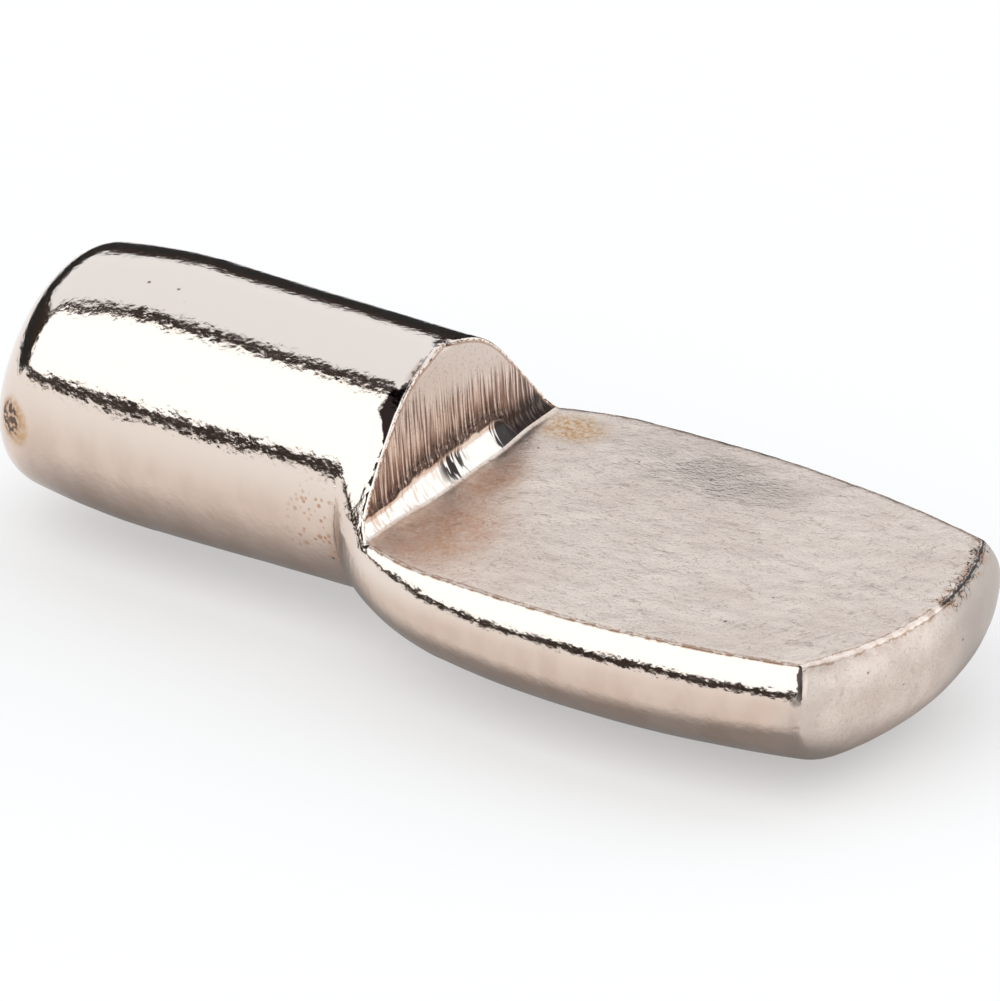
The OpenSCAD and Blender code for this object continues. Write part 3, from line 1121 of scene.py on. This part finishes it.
def end_nickel():
    """The end face: matt and scuffed, with dark specks."""
    look = Recipe("nickel_end", END_NICKEL)
    y, z = look.split()[1:]
    broad = look.noise(1.0, detail=3, rough=0.6, seed=31)
    scuffs = look.noise(0.26, (1, 1, 1.8), detail=3, rough=0.65, seed=32)
    grain = look.noise(0.06, rough=0.7, seed=33)
    look.coat(END_NICKEL_DARK, (broad, 0.35, 0.65))
    look.coat(END_SCUFF, (scuffs, 0.42, 0.28), 0.5)
    look.coat(END_GRAIN, (grain, 0.43, 0.28), 0.6)
    look.coat(END_GLINT, (grain, 0.57, 0.72), 0.6)
    # Painted shade: a grey patch on the end face by its near corner
    look.coat(CORNER_TINT, look.patch(CORNER_GREY, (0.8, 0.45, 0.5), 0.7), 0.3)
    # Painted shade: the far side of the end face is greyer and darker
    look.coat(END_FAR_GREY, (y, -0.8, 1.6), 0.85)
    # Painted shade along the end face's lower edge
    under = look.rise(look.measured("to_under"), 0.9, 0.0)
    look.coat(END_UNDER_SHADE, under, 0.8)
    look.coat(GRIME, specks(look, 0.5, 0.11, 0.5, 34), 0.8)
    # The dark line down the near corner, with a pink strip of painted highlight beside it
    corner = look.measured("to_corner")
    look.coat(PINK_EDGE_HIGHLIGHT, (corner, 0.2, 0.14), (z, -0.75, -0.5))
    look.coat(INK, (corner, 0.07, 0.04), (scuffs, 0.35, 0.5, 0.4, 1))
    roughness = look.weighted(0.38, (broad, 0.12), (under, -0.13))
    roughness = worn_end_rim(look, y, roughness)
    height = look.weighted(0, (scuffs, 0.012), (grain, 0.004))
    return look.finished(1.0, roughness, height)


# ---- Studio ----

# The camera's azimuth and elevation, its distance, and the height of what it frames
CAMERA_AZIMUTH = math.radians(33.6)
CAMERA_ELEVATION = math.radians(26.6)
CAMERA_DISTANCE = 850.0
FRAME_HEIGHT = 22.35
SENSOR_WIDTH = 36
# The point aimed at, from the middle of the step's foot: along the picture's right and up
AIM_RIGHT = 0.910
AIM_UP = -0.570

# The floor, and how much of its white is its own
FLOOR_TINT = (0.94, 0.91, 0.89)
FLOOR_OWN_WHITE = 0.4
FLOOR_SIZE = 4000
# The light from all round
WORLD_TINT = (1, 0.75, 0.65)
WORLD_STRENGTH = 0.04
# The lit cards: their tints and strengths, and how far away they are
FRONT_TINT = (0.92, 0.97, 1.0)
FRONT_STRENGTH = 1.6
BACK_TINT = (0.88, 0.94, 1.0)
BACK_STRENGTH = 1.12
SIDE_TINT = (0.92, 0.97, 1.0)
SIDE_STRENGTH = 1.35
CARD_DISTANCE = 800
# How far the corner of the front card is rounded off
CARD_CORNER = 950.0
# The side card: its turn away from straight behind, its rise, and its size
SIDE_TURN = math.radians(50)
SIDE_RISE = math.radians(39)
SIDE_WIDTH = 1450
SIDE_HEIGHT = 1290
# The dark of the flags and of the sheet under the pin
SOOT = (0.01, 0.01, 0.01)
# That sheet: its darkest share, its half width and its fade under the bar and under the blade, the
# stretch of X between those two, and how it fades out past the tip and past the end
SHADE = 0.6
SHADE_BAR = 1.4
SHADE_BLADE = 4.5
SHADE_FADE_BAR = 4
SHADE_FADE_BLADE = 1.8
SHADE_WIDENS = (-3, 4)
SHADE_TIP = (-12, -8)
SHADE_END = (15.0, 13.0)
SHADE_MIDDLE_X = 1
SHADE_SIZE = 60
SHADE_ABOVE_FLOOR = 0.01


def make_camera():
    ca, sa = math.cos(CAMERA_AZIMUTH), math.sin(CAMERA_AZIMUTH)
    ce, se = math.cos(CAMERA_ELEVATION), math.sin(CAMERA_ELEVATION)
    back = Vector((sa * ce, -ca * ce, se))
    right = Vector((ca, sa, 0))
    aim = Vector((STEP_X, 0, 0)) + right * AIM_RIGHT + back.cross(right) * AIM_UP
    data = bpy.data.cameras.new("camera")
    camera = bpy.data.objects.new("camera", data)
    bpy.context.scene.collection.objects.link(camera)
    data.sensor_width = SENSOR_WIDTH
    data.lens = SENSOR_WIDTH * CAMERA_DISTANCE / FRAME_HEIGHT
    data.clip_start = 0.01
    data.clip_end = 5
    camera.rotation_mode = "QUATERNION"
    camera.rotation_quaternion = back.to_track_quat("Z", "Y")
    camera.location = (aim + back * CAMERA_DISTANCE) * MM
    bpy.context.scene.camera = camera


def glowing(name, color, strength):
    recipe = Recipe(name)
    return recipe.ended(recipe.node("ShaderNodeEmission", Color=(*color, 1), Strength=strength))


def matt_black():
    recipe = Recipe("black_card")
    return recipe.ended(recipe.node("ShaderNodeBsdfPrincipled", Base_Color=(*SOOT, 1), Roughness=0.9))


def plane(name, middle, material, size, height=None, turns=(0, 0, 0)):
    """A flat piece of the studio. A height of its own scales it; otherwise it is square."""
    bpy.ops.object.select_all(action="DESELECT")
    bpy.ops.mesh.primitive_plane_add(size=1 if height else size * MM, location=Vector(middle) * MM)
    piece = bpy.context.object
    piece.name = name
    piece.rotation_euler = turns
    if height:
        piece.scale = (size * MM, height * MM, 1)
    piece.data.materials.append(material)
    return piece


def hide(piece, diffuse=True):
    """Keeps a piece out of the picture and the shadows, and if asked out of the matt surfaces."""
    piece.visible_camera = False
    piece.visible_shadow = False
    piece.visible_diffuse = diffuse


def make_card(name, turns, reach, material):
    """A flat card whose edges run along X. It is seen from the pin between two turns about the X
    axis, in degrees up from the front, and between two places along X."""
    low, high = (math.radians(turn) for turn in turns)
    middle, half = (low + high) / 2, (high - low) / 2
    out = Vector((0, -math.cos(middle), math.sin(middle)))
    place = out * CARD_DISTANCE + Vector(((reach[0] + reach[1]) / 2, 0, 0))
    height = 2 * CARD_DISTANCE * math.tan(half)
    piece = plane(name, place, material, reach[1] - reach[0], height, (math.pi / 2 - middle, 0, 0))
    hide(piece)
    return piece


def cut_corner(piece):
    """Rounds the card's upper left corner off."""
    pick(piece)
    bpy.ops.object.transform_apply(location=False, rotation=False, scale=True)
    select_points(piece, lambda p: p.x < 0 and p.y > 0)
    bpy.ops.mesh.bevel(offset=CARD_CORNER * MM, segments=8, affect="VERTICES")
    bpy.ops.object.mode_set(mode="OBJECT")


def make_side_card(material):
    """A card high up to the right of the pin and behind it, which faces the pin."""
    flat = math.cos(SIDE_RISE) * CARD_DISTANCE
    height = math.sin(SIDE_RISE) * CARD_DISTANCE
    place = (math.sin(SIDE_TURN) * flat, math.cos(SIDE_TURN) * flat, height)
    turns = (math.pi / 2 - SIDE_RISE, 0, -SIDE_TURN)
    hide(plane("softbox_side", place, material, SIDE_WIDTH, SIDE_HEIGHT, turns))


def make_flag(name, material, middle, foot, top, width, turn):
    """A low dark card, seen only in the pin's polish. It stands along X, and its turn about Z is
    in degrees."""
    place = (*middle, (foot + top) / 2)
    turns = (math.pi / 2, 0, math.radians(turn))
    hide(plane(name, place, material, width, top - foot, turns), diffuse=False)


def make_shade():
    """A dark sheet under the pin, a painted shadow of it on the floor, which fades out all round it and
    is seen only in its polish.
    """
    recipe = Recipe("shade")
    recipe.place = recipe.moved(recipe.place, (-SHADE_MIDDLE_X, 0, 0))
    x, y = recipe.split()[:2]
    half = recipe.rise(x, *SHADE_WIDENS, SHADE_BAR, SHADE_BLADE)
    fade = recipe.rise(x, *SHADE_WIDENS, SHADE_FADE_BAR, SHADE_FADE_BLADE)
    past = recipe.less(recipe.away(y, 0), half)
    shade = recipe.product((recipe.math("DIVIDE", past, fade), 1, 0, 0, SHADE), (x, *SHADE_TIP),
                           (x, *SHADE_END))
    dark = recipe.node("ShaderNodeBsdfDiffuse", Color=(*SOOT, 1))
    material = recipe.blended(shade, recipe.node("ShaderNodeBsdfTransparent"), dark)
    place = (SHADE_MIDDLE_X, 0, FLOOR_Z + SHADE_ABOVE_FLOOR)
    hide(plane("shade", place, material, SHADE_SIZE), diffuse=False)


def make_floor():
    """A white floor. Part of its white is its own where it is looked at, which softens the shadow."""
    recipe = Recipe("floor")
    matt = recipe.node("ShaderNodeBsdfDiffuse", Color=(*FLOOR_TINT, 1))
    white = recipe.node("ShaderNodeEmission")
    path = recipe.node("ShaderNodeLightPath").outputs
    seen = recipe.most(path["Is Camera Ray"], path["Is Glossy Ray"], path["Is Transmission Ray"])
    material = recipe.blended(recipe.product(seen, FLOOR_OWN_WHITE), matt, white)
    plane("floor", (0, 0, FLOOR_Z), material, FLOOR_SIZE)


def make_world():
    world = bpy.data.worlds.new("studio")
    bpy.context.scene.world = world
    world.use_nodes = True
    background = world.node_tree.nodes["Background"]
    background.inputs["Color"].default_value = (*WORLD_TINT, 1)
    background.inputs["Strength"].default_value = WORLD_STRENGTH


def make_studio():
    make_floor()
    make_world()
    front = glowing("front_light", FRONT_TINT, FRONT_STRENGTH)
    back = glowing("back_light", BACK_TINT, BACK_STRENGTH)
    side = glowing("side_light", SIDE_TINT, SIDE_STRENGTH)
    black = matt_black()
    cut_corner(make_card("softbox_front", turns=(11.5, 79.5), reach=(-2600, 900), material=front))
    make_card("softbox_back", turns=(90, 161), reach=(-2200, 600), material=back)
    make_side_card(side)
    make_flag("flag_back", black, middle=(-28.8, 19), foot=-3.2, top=5.5, width=57, turn=0)
    make_flag("flag_tip", black, middle=(-34, 8), foot=-2.6, top=3.5, width=36, turn=68)
    make_shade()
    bpy.context.scene.view_settings.view_transform = "Standard"


make_camera()
make_pin({
    "bright": bright_nickel(),
    "seat": seat_nickel(),
    "step": step_nickel(),
    "end": end_nickel(),
})
make_studio()
